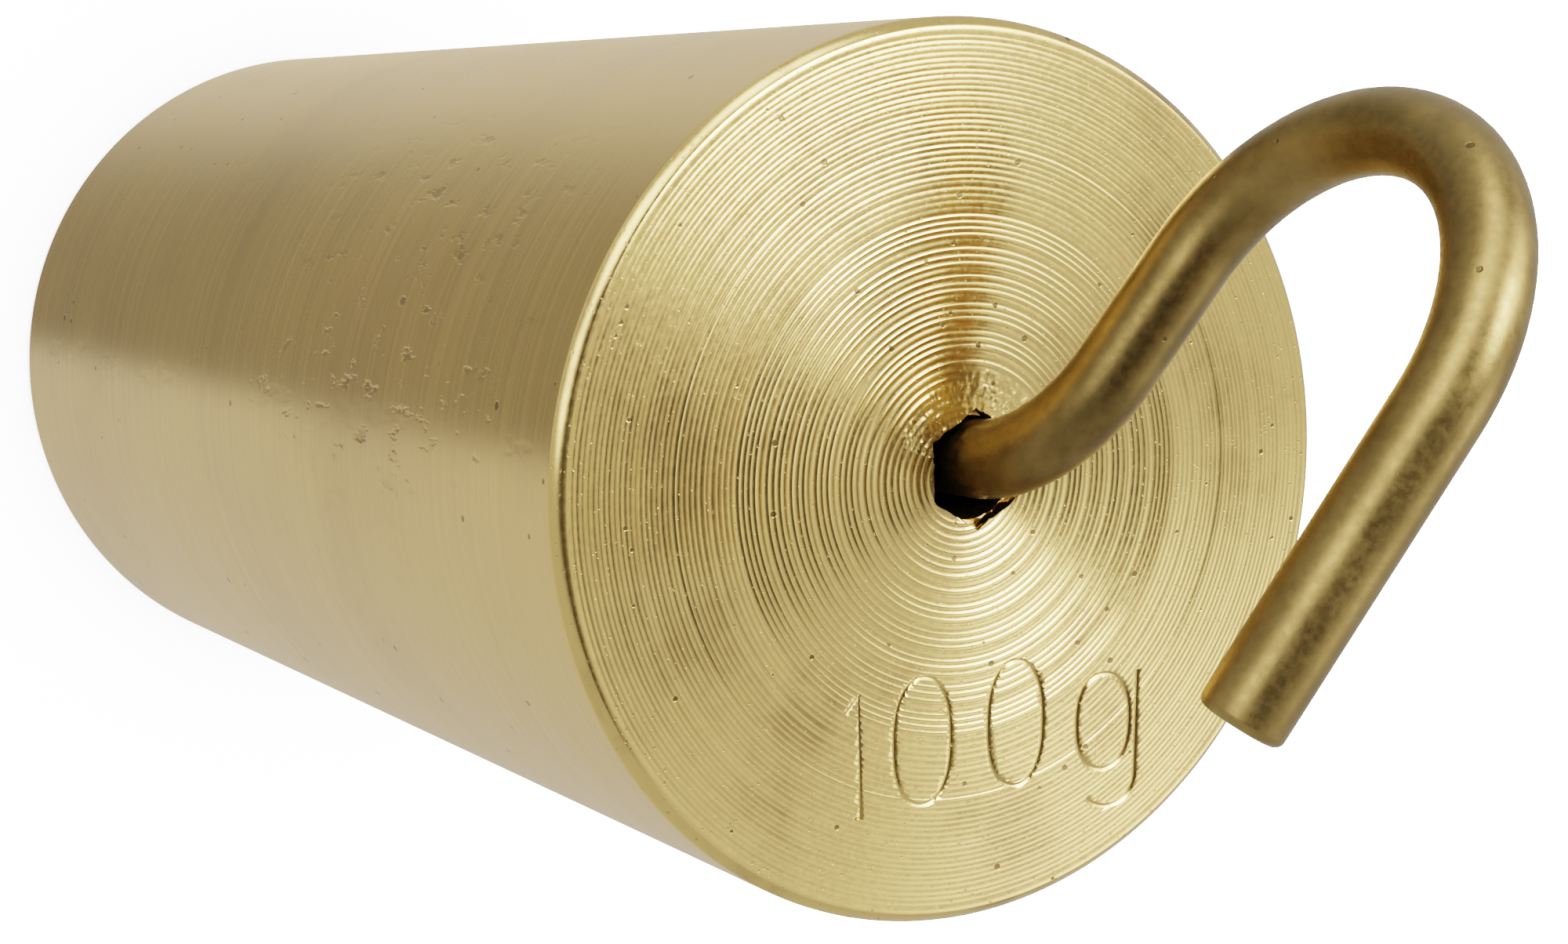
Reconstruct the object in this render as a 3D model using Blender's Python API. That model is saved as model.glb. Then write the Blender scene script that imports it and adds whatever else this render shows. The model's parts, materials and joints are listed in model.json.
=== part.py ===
"""A hooked brass balance weight of 100 g, as an assembly of its five separate pieces.

The weight stands on the plane z = 0 with its turned axis on Z. The hook leans out towards -X, curves over
and points back towards +X. The wire hook passes down a bore right through the body, and its lower end is
spread into a head. The head turns under a washer in a cavity in the base, so the hook swivels freely. A soft
trim slug brings the weight to its nominal mass, and a pressed plug closes the cavity.
"""

import math

import bpy

MM = 0.001

# Turned body
BODY_DIAMETER = 19.8 * MM
BODY_LENGTH = 38.5 * MM
TOP_CHAMFER = 0.45 * MM
BASE_CHAMFER = 0.45 * MM

# Bore for the hook, drilled a little off the turned centre
BORE_X = -0.30 * MM
BORE_Y = 0.25 * MM
BORE_CLEARANCE = 0.325 * MM

# Hook, bent from round wire: a shank, a bend out to the side, a slanting limb, the crown, a free limb
WIRE_DIAMETER = 1.75 * MM
SHANK_LEAN = 0.23 * MM
BEND_START_BELOW_FACE = 0.26 * MM
SHOULDER_BEND_RADIUS = 3.66 * MM
SLANT_ANGLE = math.radians(71.4)
SLANT_LENGTH = 2.59 * MM
CROWN_RADIUS = 4.53 * MM
CROWN_TURN = math.radians(176.0)
FREE_LIMB_LENGTH = 6.71 * MM
WIRE_END_CHAMFER = 0.12 * MM

# Head spread on the lower end of the shank
HEAD_OVERHANG = 0.95 * MM
HEAD_HEIGHT = 1.2 * MM
HEAD_LIP = 0.05 * MM
HEAD_DOME = ((0.0, 0.62), (0.12, 0.82), (0.3, 0.96), (0.5, 1.0))

# Pieces closed in the cavity of the base, from the open end upwards
PLUG_RECESS = 0.3 * MM
PLUG_THICKNESS = 1.5 * MM
PLUG_CHAMFER = 0.2 * MM
SLUG_THICKNESS = 2.2 * MM
HEAD_PLAY = 0.5 * MM
WASHER_THICKNESS = 0.8 * MM
WASHER_SIDE_CLEARANCE = 0.35 * MM
WASHER_BORE_CLEARANCE = 0.25 * MM
CAVITY_DIAMETER = 6.5 * MM
CONTACT_GAP = 0.3 * MM

# Fineness of the round shapes
BODY_STEPS = 96
SMALL_STEPS = 48
WIRE_BEVEL_STEPS = 6
BEND_STEP = math.radians(6.0)
SMOOTH_ANGLE = math.radians(30.0)
MERGE_DISTANCE = 0.001 * MM
CUT_OVERRUN = 1.0 * MM

# Places that follow from the sizes above
BODY_RADIUS = BODY_DIAMETER / 2
WIRE_RADIUS = WIRE_DIAMETER / 2
BORE_RADIUS = WIRE_RADIUS + BORE_CLEARANCE
HEAD_RADIUS = WIRE_RADIUS + HEAD_OVERHANG
CAVITY_RADIUS = CAVITY_DIAMETER / 2
PLUG_TOP = PLUG_RECESS + PLUG_THICKNESS
SLUG_BOTTOM = PLUG_TOP + CONTACT_GAP
SLUG_TOP = SLUG_BOTTOM + SLUG_THICKNESS
HEAD_BOTTOM = SLUG_TOP + HEAD_PLAY
HEAD_TOP = HEAD_BOTTOM + HEAD_HEIGHT
WASHER_BOTTOM = HEAD_TOP + CONTACT_GAP
WASHER_TOP = WASHER_BOTTOM + WASHER_THICKNESS
CAVITY_DEPTH = WASHER_TOP + CONTACT_GAP
WASHER_RADIUS = CAVITY_RADIUS - math.hypot(BORE_X, BORE_Y) - WASHER_SIDE_CLEARANCE

# Finishes: colour, roughness, metallic
FINISHES = {
    "turned_brass": ((0.78, 0.63, 0.36), 0.34, 1.0),
    "tarnished_brass_wire": ((0.36, 0.27, 0.15), 0.42, 1.0),
    "plain_brass": ((0.72, 0.57, 0.31), 0.4, 1.0),
    "lead": ((0.30, 0.31, 0.33), 0.6, 1.0),
}


def clear_scene():
    for old in list(bpy.data.objects):
        bpy.data.objects.remove(old, do_unlink=True)


def finish(name):
    """The material of that name, made the first time it is asked for."""
    material = bpy.data.materials.get(name)
    if material is None:
        colour, roughness, metallic = FINISHES[name]
        material = bpy.data.materials.new(name)
        material.use_nodes = True
        shader = material.node_tree.nodes["Principled BSDF"]
        shader.inputs["Base Color"].default_value = (*colour, 1.0)
        shader.inputs["Roughness"].default_value = roughness
        shader.inputs["Metallic"].default_value = metallic
    return material


def place(name, data, location=(0.0, 0.0, 0.0)):
    piece = bpy.data.objects.new(name, data)
    piece.location = location
    bpy.context.scene.collection.objects.link(piece)
    return piece


def turned(name, profile, steps, location=(0.0, 0.0, 0.0), ring=False):
    """A piece turned about its own Z axis. The profile (radius, height) runs down the outer side.

    A ring's profile closes on itself and leaves a hole, a disc's begins and ends on the axis.
    """
    edges = [(i, i + 1) for i in range(len(profile) - 1)]
    if ring:
        edges.append((len(profile) - 1, 0))
    mesh = bpy.data.meshes.new(name)
    mesh.from_pydata([(radius, 0.0, height) for radius, height in profile], edges, [])
    piece = place(name, mesh, location)
    lathe = piece.modifiers.new("Lathe", "SCREW")
    lathe.axis = "Z"
    lathe.steps = steps
    lathe.render_steps = steps
    lathe.use_merge_vertices = True
    lathe.merge_threshold = MERGE_DISTANCE
    lathe.use_smooth_shade = False
    return piece


def cylinder_profile(radius, bottom, top, top_chamfer=0.0, bottom_chamfer=0.0):
    """A solid disc's or cylinder's outline, from the axis at its top to the axis at its bottom."""
    profile = [(0.0, top)]
    if top_chamfer > 0.0:
        profile.append((radius - top_chamfer, top))
    profile.append((radius, top - top_chamfer))
    profile.append((radius, bottom + bottom_chamfer))
    if bottom_chamfer > 0.0:
        profile.append((radius - bottom_chamfer, bottom))
    profile.append((0.0, bottom))
    return profile


def cut(piece, cutter):
    cutter.hide_render = True
    cutter.display_type = "WIRE"
    difference = piece.modifiers.new("Cut " + cutter.name, "BOOLEAN")
    difference.operation = "DIFFERENCE"
    difference.solver = "EXACT"
    difference.object = cutter


def baked(piece):
    """The piece with its modifiers applied and its cutters gone, shaded smooth where it is round."""
    cutters = [modifier.object for modifier in piece.modifiers if modifier.type == "BOOLEAN"]
    depsgraph = bpy.context.evaluated_depsgraph_get()
    mesh = bpy.data.meshes.new_from_object(piece.evaluated_get(depsgraph))
    piece.modifiers.clear()
    piece.data = mesh
    mesh.name = piece.name
    mesh.shade_smooth()
    mesh.set_sharp_from_angle(angle=SMOOTH_ANGLE)
    for cutter in cutters:
        bpy.data.objects.remove(cutter, do_unlink=True)
    return piece


def weight_body():
    outline = cylinder_profile(BODY_RADIUS, 0.0, BODY_LENGTH, TOP_CHAMFER, BASE_CHAMFER)
    body = turned("weight_body", outline, BODY_STEPS)
    bore_outline = cylinder_profile(BORE_RADIUS, -CUT_OVERRUN, BODY_LENGTH + CUT_OVERRUN)
    cut(body, turned("hook_bore", bore_outline, SMALL_STEPS, (BORE_X, BORE_Y, 0.0)))
    cavity_outline = cylinder_profile(CAVITY_RADIUS, -CUT_OVERRUN, CAVITY_DEPTH)
    cut(body, turned("base_cavity", cavity_outline, SMALL_STEPS))
    baked(body).data.materials.append(finish("turned_brass"))


def hook_washer():
    inner = WIRE_RADIUS + WASHER_BORE_CLEARANCE
    half = WASHER_THICKNESS / 2
    outline = [(inner, half), (WASHER_RADIUS, half), (WASHER_RADIUS, -half), (inner, -half)]
    middle = (WASHER_BOTTOM + WASHER_TOP) / 2
    washer = turned("hook_washer", outline, SMALL_STEPS, (BORE_X, BORE_Y, middle), ring=True)
    baked(washer).data.materials.append(finish("plain_brass"))


def trim_slug():
    outline = cylinder_profile(CAVITY_RADIUS - CONTACT_GAP, SLUG_BOTTOM, SLUG_TOP)
    baked(turned("trim_slug", outline, SMALL_STEPS)).data.materials.append(finish("lead"))


def base_plug():
    outline = cylinder_profile(CAVITY_RADIUS - CONTACT_GAP, PLUG_RECESS, PLUG_TOP, PLUG_CHAMFER, PLUG_CHAMFER)
    baked(turned("base_plug", outline, SMALL_STEPS)).data.materials.append(finish("plain_brass"))


def straight(point, heading, length):
    """The point that a straight run of wire reaches. Heading 0 is up, and positive leans towards -X."""
    return (point[0] - length * math.sin(heading), point[1] + length * math.cos(heading))


def bend(point, heading, radius, turn):
    """The points round a bend, after its start. A positive turn goes towards -X."""
    side = math.copysign(1.0, turn)
    centre_x = point[0] - side * radius * math.cos(heading)
    centre_z = point[1] - side * radius * math.sin(heading)
    count = max(2, math.ceil(abs(turn) / BEND_STEP))
    points = []
    for i in range(1, count + 1):
        angle = heading + turn * i / count
        points.append((centre_x + side * radius * math.cos(angle), centre_z + side * radius * math.sin(angle)))
    return points


def hook_line():
    """The hook's centre line as (x, z, wire radius), from the head up, with z = 0 at the body's top face."""
    head_bottom = HEAD_BOTTOM - BODY_LENGTH
    head_top = HEAD_TOP - BODY_LENGTH
    line = [(0.0, head_bottom + at * HEAD_HEIGHT, share * HEAD_RADIUS) for at, share in HEAD_DOME]
    line.append((0.0, head_top - HEAD_LIP, HEAD_RADIUS))
    line.append((0.0, head_top, WIRE_RADIUS))
    points = [(-SHANK_LEAN, -BEND_START_BELOW_FACE)]
    points += bend(points[-1], 0.0, SHOULDER_BEND_RADIUS, SLANT_ANGLE)
    points.append(straight(points[-1], SLANT_ANGLE, SLANT_LENGTH))
    points += bend(points[-1], SLANT_ANGLE, CROWN_RADIUS, -CROWN_TURN)
    end_heading = SLANT_ANGLE - CROWN_TURN
    points.append(straight(points[-1], end_heading, FREE_LIMB_LENGTH - WIRE_END_CHAMFER))
    line += [(x, z, WIRE_RADIUS) for x, z in points]
    line.append((*straight(points[-1], end_heading, WIRE_END_CHAMFER), WIRE_RADIUS - WIRE_END_CHAMFER))
    return line


def hook():
    """The wire hook. Its origin is on the bore's axis at the top face, which is the axis that it turns on."""
    line = hook_line()
    curve = bpy.data.curves.new("hook", "CURVE")
    curve.dimensions = "3D"
    curve.bevel_depth = WIRE_RADIUS
    curve.bevel_resolution = WIRE_BEVEL_STEPS
    curve.use_fill_caps = True
    wire = curve.splines.new("POLY")
    wire.points.add(len(line) - 1)
    for point, (x, z, radius) in zip(wire.points, line):
        point.co = (x, 0.0, z, 1.0)
        point.radius = radius / WIRE_RADIUS
    wire.use_smooth = True
    curve.materials.append(finish("tarnished_brass_wire"))
    place("hook", curve, (BORE_X, BORE_Y, BODY_LENGTH))


def main():
    clear_scene()
    weight_body()
    hook_washer()
    trim_slug()
    base_plug()
    hook()


main()
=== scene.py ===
import json
import math
import random

import bpy
from bpy.props import FloatProperty, FloatVectorProperty, IntProperty, PointerProperty
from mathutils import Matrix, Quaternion, Vector


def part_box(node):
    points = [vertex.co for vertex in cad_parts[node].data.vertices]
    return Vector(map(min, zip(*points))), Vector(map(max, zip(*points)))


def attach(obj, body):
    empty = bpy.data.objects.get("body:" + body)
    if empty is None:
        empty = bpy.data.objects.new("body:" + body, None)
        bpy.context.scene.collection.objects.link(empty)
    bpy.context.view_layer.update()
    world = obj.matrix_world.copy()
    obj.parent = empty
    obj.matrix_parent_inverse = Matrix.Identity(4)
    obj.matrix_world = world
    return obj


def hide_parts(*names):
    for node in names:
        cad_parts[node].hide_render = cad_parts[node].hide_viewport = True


bl_info = {
    "name": "Hooked Brass Weight",
    "version": (1, 0, 0),
    "blender": (4, 5, 0),
    "location": "View3D > Sidebar > Weight",
    "description": "Models a turned brass weight with a swivelling wire hook, and a studio to show it in",
    "category": "Add Mesh",
}

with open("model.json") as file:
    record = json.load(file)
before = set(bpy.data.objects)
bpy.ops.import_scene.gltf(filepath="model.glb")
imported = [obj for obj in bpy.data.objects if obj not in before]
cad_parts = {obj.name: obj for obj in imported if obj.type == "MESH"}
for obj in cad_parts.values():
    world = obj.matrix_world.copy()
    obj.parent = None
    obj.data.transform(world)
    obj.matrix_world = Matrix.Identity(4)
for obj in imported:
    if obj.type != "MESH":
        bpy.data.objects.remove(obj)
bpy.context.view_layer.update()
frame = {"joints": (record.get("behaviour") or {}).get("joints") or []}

MM = 0.001
MERGE = 0.0005 * MM

# Places that the frame gives
BODY_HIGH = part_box("weight_body")[1]
PLUG_LOW, PLUG_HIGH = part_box("base_plug")
WASHER_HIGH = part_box("hook_washer")[1]
HOOK_LOW, HOOK_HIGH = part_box("hook")
SWIVEL = Vector(frame["joints"][0]["pos_m"])
BODY_RADIUS = BODY_HIGH.x
TOP = BODY_HIGH.z
MESH_GAP = 0.3 * MM
CAVITY_RADIUS = PLUG_HIGH.x + MESH_GAP
CAVITY_DEPTH = WASHER_HIGH.z + MESH_GAP
HEAD_RADIUS = HOOK_HIGH.y - SWIVEL.y

# The wire is bent about this direction, so that the hook lies in one upright plane
BEND_AXIS = Vector((0.0, 1.0, 0.0))


# ---------------------------------------------------------------- settings

def length(name, description, millimetres):
    return FloatProperty(name=name, description=description, default=millimetres * MM,
                         subtype="DISTANCE", unit="LENGTH", precision=5)


def colour(name, description, value):
    return FloatVectorProperty(name=name, description=description, default=value,
                               subtype="COLOR", size=3, min=0.0, max=1.0)


class BodySettings(bpy.types.PropertyGroup):
    """Sizes of the turned body's finish"""
    steps: IntProperty(name="Steps", description="Facets round the turned body", default=256, min=64)
    inner_pitch: length("Inner Pitch", "Groove spacing at the middle of the face", 0.178)
    outer_pitch: length("Outer Pitch", "Groove spacing at the rim of the face", 0.112)
    groove_depth: length("Groove Depth", "Depth of a turned groove", 0.0125)
    base_pitch: length("Base Pitch", "Groove spacing on the base", 0.2)
    chamfer: length("Chamfer", "Width of the rim chamfers", 0.22)
    bore: length("Bore", "Diameter of the drilled bore", 2.3)
    mouth: length("Bore Mouth", "Width over the corners of the torn mouth", 2.66)
    mouth_depth: length("Mouth Depth", "Depth of the torn mouth", 0.35)
    tear: length("Tear", "Roughness of the torn mouth", 0.075)
    mark_height: length("Mark Height", "Height of the engraved value", 2.75)
    mark_stroke: length("Mark Stroke", "Half width of an engraved stroke", 0.08)


class HookSettings(bpy.types.PropertyGroup):
    """Sizes of the bent wire hook"""
    wire: length("Wire", "Diameter of the wire", 1.75)
    sides: IntProperty(name="Sides", description="Facets round the wire", default=40, min=12)
    lean: length("Lean", "How far the shank leans in its bore at the face", 0.23)
    start: length("Bend Start", "Depth below the face where the shank begins to bend", 0.26)
    shoulder: length("Shoulder Radius", "Radius of the bend out to the side", 3.66)
    slant: FloatProperty(name="Slant", description="Angle of the slanting limb from upright",
                         default=math.radians(71.4), subtype="ANGLE", unit="ROTATION")
    slant_length: length("Slant Length", "Length of the slanting limb", 2.59)
    crown: length("Crown Radius", "Radius of the crown", 4.53)
    crown_turn: FloatProperty(name="Crown Turn", description="Angle that the crown turns through",
                              default=math.radians(176.0), subtype="ANGLE", unit="ROTATION")
    limb: length("Free Limb", "Length of the free limb", 6.71)
    end_round: length("End Rounding", "Rounding of the cut end", 0.2)
    head_height: length("Head Height", "Height of the spread head", 1.2)


class FinishSettings(bpy.types.PropertyGroup):
    """Colours of the metals"""
    face: colour("Face Brass", "Bare turned brass of the face", (0.86, 0.60, 0.215))
    side: colour("Side Brass", "Satin handled brass of the side", (0.83, 0.56, 0.205))
    wire: colour("Wire", "Tarnished brass wire", (0.335, 0.23, 0.085))
    plug: colour("Plug Brass", "Plain brass of the plug and washer", (0.78, 0.57, 0.25))
    lead: colour("Lead", "Grey trim slug", (0.30, 0.31, 0.33))
    tarnish: colour("Tarnish", "Brown tarnish on the bare brass", (0.56, 0.37, 0.16))
    dirt: colour("Dirt", "Dark deposit in pits and grooves", (0.06, 0.035, 0.015))


class StudioSettings(bpy.types.PropertyGroup):
    """The floor, the lights and the camera"""
    floor: FloatProperty(name="Floor", description="Side of the floor", default=6.0,
                         subtype="DISTANCE", unit="LENGTH")
    ambient: FloatProperty(name="Ambient", description="Brightness of the room above the table",
                           default=0.68, min=0.0)
    table: FloatProperty(name="Table", description="Brightness of the pale table in the metal",
                         default=0.72, min=0.0)
    lens: FloatProperty(name="Lens", description="Focal length in millimetres", default=63.18,
                        subtype="DISTANCE_CAMERA")
    azimuth: FloatProperty(name="Azimuth", description="Direction that the camera looks from",
                           default=math.radians(14.44), subtype="ANGLE", unit="ROTATION")
    elevation: FloatProperty(name="Elevation", description="Height of the camera above the horizon",
                             default=math.radians(58.82), subtype="ANGLE", unit="ROTATION")
    roll: FloatProperty(name="Roll", description="Turn of the camera about its own view",
                        default=math.radians(101.65), subtype="ANGLE", unit="ROTATION")
    distance: length("Distance", "Camera to the point that it is aimed at", 57.47)


# ---------------------------------------------------------------- modelling helpers

def select_only(piece):
    bpy.ops.object.select_all(action="DESELECT")
    piece.select_set(True)
    bpy.context.view_layer.objects.active = piece


def named(name):
    """The object that an operator has just added, named together with its mesh."""
    piece = bpy.context.active_object
    piece.name = name
    piece.data.name = name
    return piece


def edit(piece):
    """Edit mode on vertices, whatever the last piece left the selection mode at."""
    select_only(piece)
    bpy.ops.object.mode_set(mode="EDIT")
    bpy.ops.mesh.select_mode(type="VERT")


def leave_edit():
    bpy.ops.object.mode_set(mode="OBJECT")


def pick_vertices(piece, wanted):
    """Edit mode, with only the vertices selected whose place passes the test."""
    edit(piece)
    bpy.ops.mesh.select_all(action="DESELECT")
    leave_edit()
    for vertex in piece.data.vertices:
        vertex.select = wanted(vertex.co)
    if not any(vertex.select for vertex in piece.data.vertices):
        raise RuntimeError(f"nothing of {piece.name} was found to shape")
    bpy.ops.object.mode_set(mode="EDIT")


def pick_faces(piece, wanted):
    """Edit mode, with only the faces selected whose centre and normal pass the test."""
    edit(piece)
    bpy.ops.mesh.select_mode(type="FACE")
    bpy.ops.mesh.select_all(action="DESELECT")
    leave_edit()
    for face in piece.data.polygons:
        face.select = wanted(face.center, face.normal)
    if not any(face.select for face in piece.data.polygons):
        raise RuntimeError(f"no face of {piece.name} was found")
    bpy.ops.object.mode_set(mode="EDIT")


def close_shape():
    """In edit mode: doubles merged, then every normal turned outwards."""
    bpy.ops.mesh.select_all(action="SELECT")
    bpy.ops.mesh.remove_doubles(threshold=MERGE)
    bpy.ops.mesh.normals_make_consistent(inside=False)


def apply_modifier(piece, kind, **values):
    select_only(piece)
    bpy.ops.object.modifier_add(type=kind)
    modifier = piece.modifiers[-1]
    for key, value in values.items():
        setattr(modifier, key, value)
    bpy.ops.object.modifier_apply(modifier=modifier.name)


def cut_with(piece, cutter):
    apply_modifier(piece, "BOOLEAN", operation="DIFFERENCE", solver="EXACT", object=cutter)
    bpy.data.objects.remove(cutter, do_unlink=True)


def smooth(piece, angle=math.radians(35.0)):
    select_only(piece)
    bpy.ops.object.shade_smooth_by_angle(angle=angle)


def turn(name, profile, steps):
    """A profile of (radius, height) points, drawn point by point and spun once round Z."""
    bpy.ops.object.select_all(action="DESELECT")
    bpy.ops.mesh.primitive_plane_add(size=MM)
    piece = named(name)
    edit(piece)
    bpy.ops.mesh.select_all(action="SELECT")
    bpy.ops.mesh.merge(type="CENTER")
    here = Vector((profile[0][0], 0.0, profile[0][1]))
    bpy.ops.transform.translate(value=here)
    for radius, height in profile[1:]:
        there = Vector((radius, 0.0, height))
        bpy.ops.mesh.extrude_region_move(TRANSFORM_OT_translate={"value": there - here})
        here = there
    bpy.ops.mesh.select_all(action="SELECT")
    bpy.ops.mesh.spin(steps=steps, angle=math.tau, center=(0.0, 0.0, 0.0), axis=(0.0, 0.0, 1.0))
    close_shape()
    leave_edit()
    if len(piece.data.polygons) < steps:
        raise RuntimeError(f"{name} wasn't turned")
    return piece


# Shares of a groove's pitch where its floor begins and ends
FLOOR_START = 0.28
FLOOR_END = 0.68
# How much neighbouring grooves differ
PITCH_SPREAD = (0.9, 1.1)
DEPTH_SPREAD = (0.75, 1.2)
FLOOR_SPREAD = (0.7, 1.0)
CREST_SPREAD = (0.0, 0.12)


def ring_grooves(first, last, pitch_at, depth_at, level, into, rng):
    """Points of rounded grooves from one radius to another, each a flank, a floor and a crest."""
    way = 1.0 if last > first else -1.0
    points = []
    radius = first
    while True:
        pitch = pitch_at(radius) * rng.uniform(*PITCH_SPREAD)
        if abs(last - radius) < 1.5 * pitch:
            return points
        depth = depth_at(radius) * rng.uniform(*DEPTH_SPREAD)
        points.append((radius + way * FLOOR_START * pitch, level + into * depth))
        points.append((radius + way * FLOOR_END * pitch, level + into * depth * rng.uniform(*FLOOR_SPREAD)))
        radius += way * pitch
        points.append((radius, level + into * depth_at(radius) * rng.uniform(*CREST_SPREAD)))


# ---------------------------------------------------------------- material helpers

def new_material(name):
    material = bpy.data.materials.new(name)
    material.use_nodes = True
    material.node_tree.nodes.clear()
    return material


def add(tree, kind, **inputs):
    """A node of that kind, with the given inputs set. A name's underscores stand for spaces."""
    node = tree.nodes.new(kind)
    for key, value in inputs.items():
        node.inputs[key.replace("_", " ")].default_value = value
    return node


def maths(tree, operation, first, second=None):
    node = tree.nodes.new("ShaderNodeMath")
    node.operation = operation
    for socket, value in zip(node.inputs, (first, second)):
        feed(tree, socket, value)
    return node.outputs[0]


def scaled(tree, value, gain):
    return maths(tree, "MULTIPLY", value, gain)


def feed(tree, socket, value):
    """Link an output to the socket, or set the socket to a plain value."""
    if value is None:
        return
    if isinstance(value, bpy.types.NodeSocket):
        tree.links.new(value, socket)
    else:
        socket.default_value = value


def span(tree, value, low, high, to_low=0.0, to_high=1.0):
    """The value mapped smoothly from low..high to to_low..to_high, and held at the ends."""
    node = tree.nodes.new("ShaderNodeMapRange")
    node.interpolation_type = "SMOOTHSTEP"
    feed(tree, node.inputs["Value"], value)
    node.inputs["From Min"].default_value = low
    node.inputs["From Max"].default_value = high
    node.inputs["To Min"].default_value = to_low
    node.inputs["To Max"].default_value = to_high
    return node.outputs["Result"]


def blend_colour(tree, share, first, second):
    node = tree.nodes.new("ShaderNodeMix")
    node.data_type = "RGBA"
    feed(tree, node.inputs["Factor"], share)
    for socket, value in ((node.inputs["A"], first), (node.inputs["B"], second)):
        feed(tree, socket, value)
    return node.outputs["Result"]


def rgba(value, gain=1.0):
    return (value[0] * gain, value[1] * gain, value[2] * gain, 1.0)


def noise(tree, vector, scale, detail=2.0, rough=0.5):
    node = add(tree, "ShaderNodeTexNoise", Scale=scale, Detail=detail, Roughness=rough)
    feed(tree, node.inputs["Vector"], vector)
    return node.outputs["Fac"]


def stretched(tree, vector, scale, location=(0.0, 0.0, 0.0), rotation=(0.0, 0.0, 0.0)):
    """Object coordinates scaled by axis, so that a pattern on them is drawn out."""
    node = add(tree, "ShaderNodeMapping", Scale=scale, Location=location, Rotation=rotation)
    feed(tree, node.inputs["Vector"], vector)
    return node.outputs["Vector"]


def group_start(name, inputs, outputs):
    tree = bpy.data.node_groups.new(name, "ShaderNodeTree")
    for label, kind, default in inputs:
        socket = tree.interface.new_socket(name=label, in_out="INPUT", socket_type=kind)
        if default is not None:
            socket.default_value = default
    for label, kind in outputs:
        tree.interface.new_socket(name=label, in_out="OUTPUT", socket_type=kind)
    return tree, tree.nodes.new("NodeGroupInput").outputs, tree.nodes.new("NodeGroupOutput").inputs


def make_specks_group():
    """Scattered small pits: a mask that is one inside a pit."""
    tree, given, out = group_start(
        "Pits",
        [("Vector", "NodeSocketVector", None), ("Scale", "NodeSocketFloat", 1000.0),
         ("Size", "NodeSocketFloat", 0.25), ("Amount", "NodeSocketFloat", 0.3)],
        [("Mask", "NodeSocketFloat")])
    cells = tree.nodes.new("ShaderNodeTexVoronoi")
    feed(tree, cells.inputs["Vector"], given["Vector"])
    feed(tree, cells.inputs["Scale"], given["Scale"])
    chance = tree.nodes.new("ShaderNodeSeparateColor")
    feed(tree, chance.inputs["Color"], cells.outputs["Color"])
    chosen = maths(tree, "LESS_THAN", chance.outputs["Red"], given["Amount"])
    reach = maths(tree, "MULTIPLY", given["Size"], chance.outputs["Green"])
    inside = maths(tree, "SUBTRACT", reach, cells.outputs["Distance"])
    soft = span(tree, inside, 0.0, 0.06)
    feed(tree, out["Mask"], maths(tree, "MULTIPLY", chosen, soft))
    return tree


def make_tarnish_group():
    """Cloudy tarnish: a mask from broad patches broken up by finer ones."""
    tree, given, out = group_start(
        "Tarnish",
        [("Vector", "NodeSocketVector", None), ("Scale", "NodeSocketFloat", 200.0),
         ("Spread", "NodeSocketFloat", 0.5)],
        [("Mask", "NodeSocketFloat")])
    broad = tree.nodes.new("ShaderNodeTexNoise")
    broad.inputs["Detail"].default_value = 5.0
    broad.inputs["Roughness"].default_value = 0.6
    feed(tree, broad.inputs["Vector"], given["Vector"])
    feed(tree, broad.inputs["Scale"], given["Scale"])
    lifted = maths(tree, "ADD", broad.outputs["Fac"], maths(tree, "SUBTRACT", given["Spread"], 0.5))
    feed(tree, out["Mask"], span(tree, lifted, 0.35, 0.65))
    return tree


def make_scuff_group():
    """Short scuffs and small dents: a height that dips in each of them."""
    tree, given, out = group_start(
        "Scuffs",
        [("Vector", "NodeSocketVector", None), ("Scale", "NodeSocketFloat", 1000.0),
         ("Amount", "NodeSocketFloat", 0.5)],
        [("Height", "NodeSocketFloat"), ("Mask", "NodeSocketFloat")])
    grain = tree.nodes.new("ShaderNodeTexNoise")
    grain.inputs["Detail"].default_value = 3.0
    grain.inputs["Roughness"].default_value = 0.55
    feed(tree, grain.inputs["Vector"], given["Vector"])
    feed(tree, grain.inputs["Scale"], given["Scale"])
    dips = span(tree, grain.outputs["Fac"], 0.58, 0.72)
    mask = maths(tree, "MULTIPLY", dips, given["Amount"])
    feed(tree, out["Mask"], mask)
    feed(tree, out["Height"], maths(tree, "SUBTRACT", 0.0, mask))
    return tree


SHARED = {"Pits": make_specks_group, "Tarnish": make_tarnish_group, "Scuffs": make_scuff_group}


def shared(tree, name, vector, **inputs):
    """One of the shared node groups, made the first time that it is used, placed with its own values."""
    group = bpy.data.node_groups.get(name)
    if group is None:
        group = SHARED[name]()
    node = tree.nodes.new("ShaderNodeGroup")
    node.node_tree = group
    feed(tree, node.inputs["Vector"], vector)
    for key, value in inputs.items():
        feed(tree, node.inputs[key], value)
    return node.outputs


def metal(tree, base, rough, height=None, bump=0.02 * MM, **constants):
    """A metallic surface with its output. Constants are set on the shader's own sockets."""
    shader = add(tree, "ShaderNodeBsdfPrincipled", Metallic=1.0)
    for key, value in constants.items():
        shader.inputs[key.replace("_", " ")].default_value = value
    feed(tree, shader.inputs["Base Color"], base)
    feed(tree, shader.inputs["Roughness"], rough)
    if height is not None:
        bumps = add(tree, "ShaderNodeBump", Strength=1.0, Distance=bump)
        feed(tree, bumps.inputs["Height"], height)
        feed(tree, shader.inputs["Normal"], bumps.outputs["Normal"])
    output = tree.nodes.new("ShaderNodeOutputMaterial")
    feed(tree, output.inputs["Surface"], shader.outputs["BSDF"])
    return shader


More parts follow.
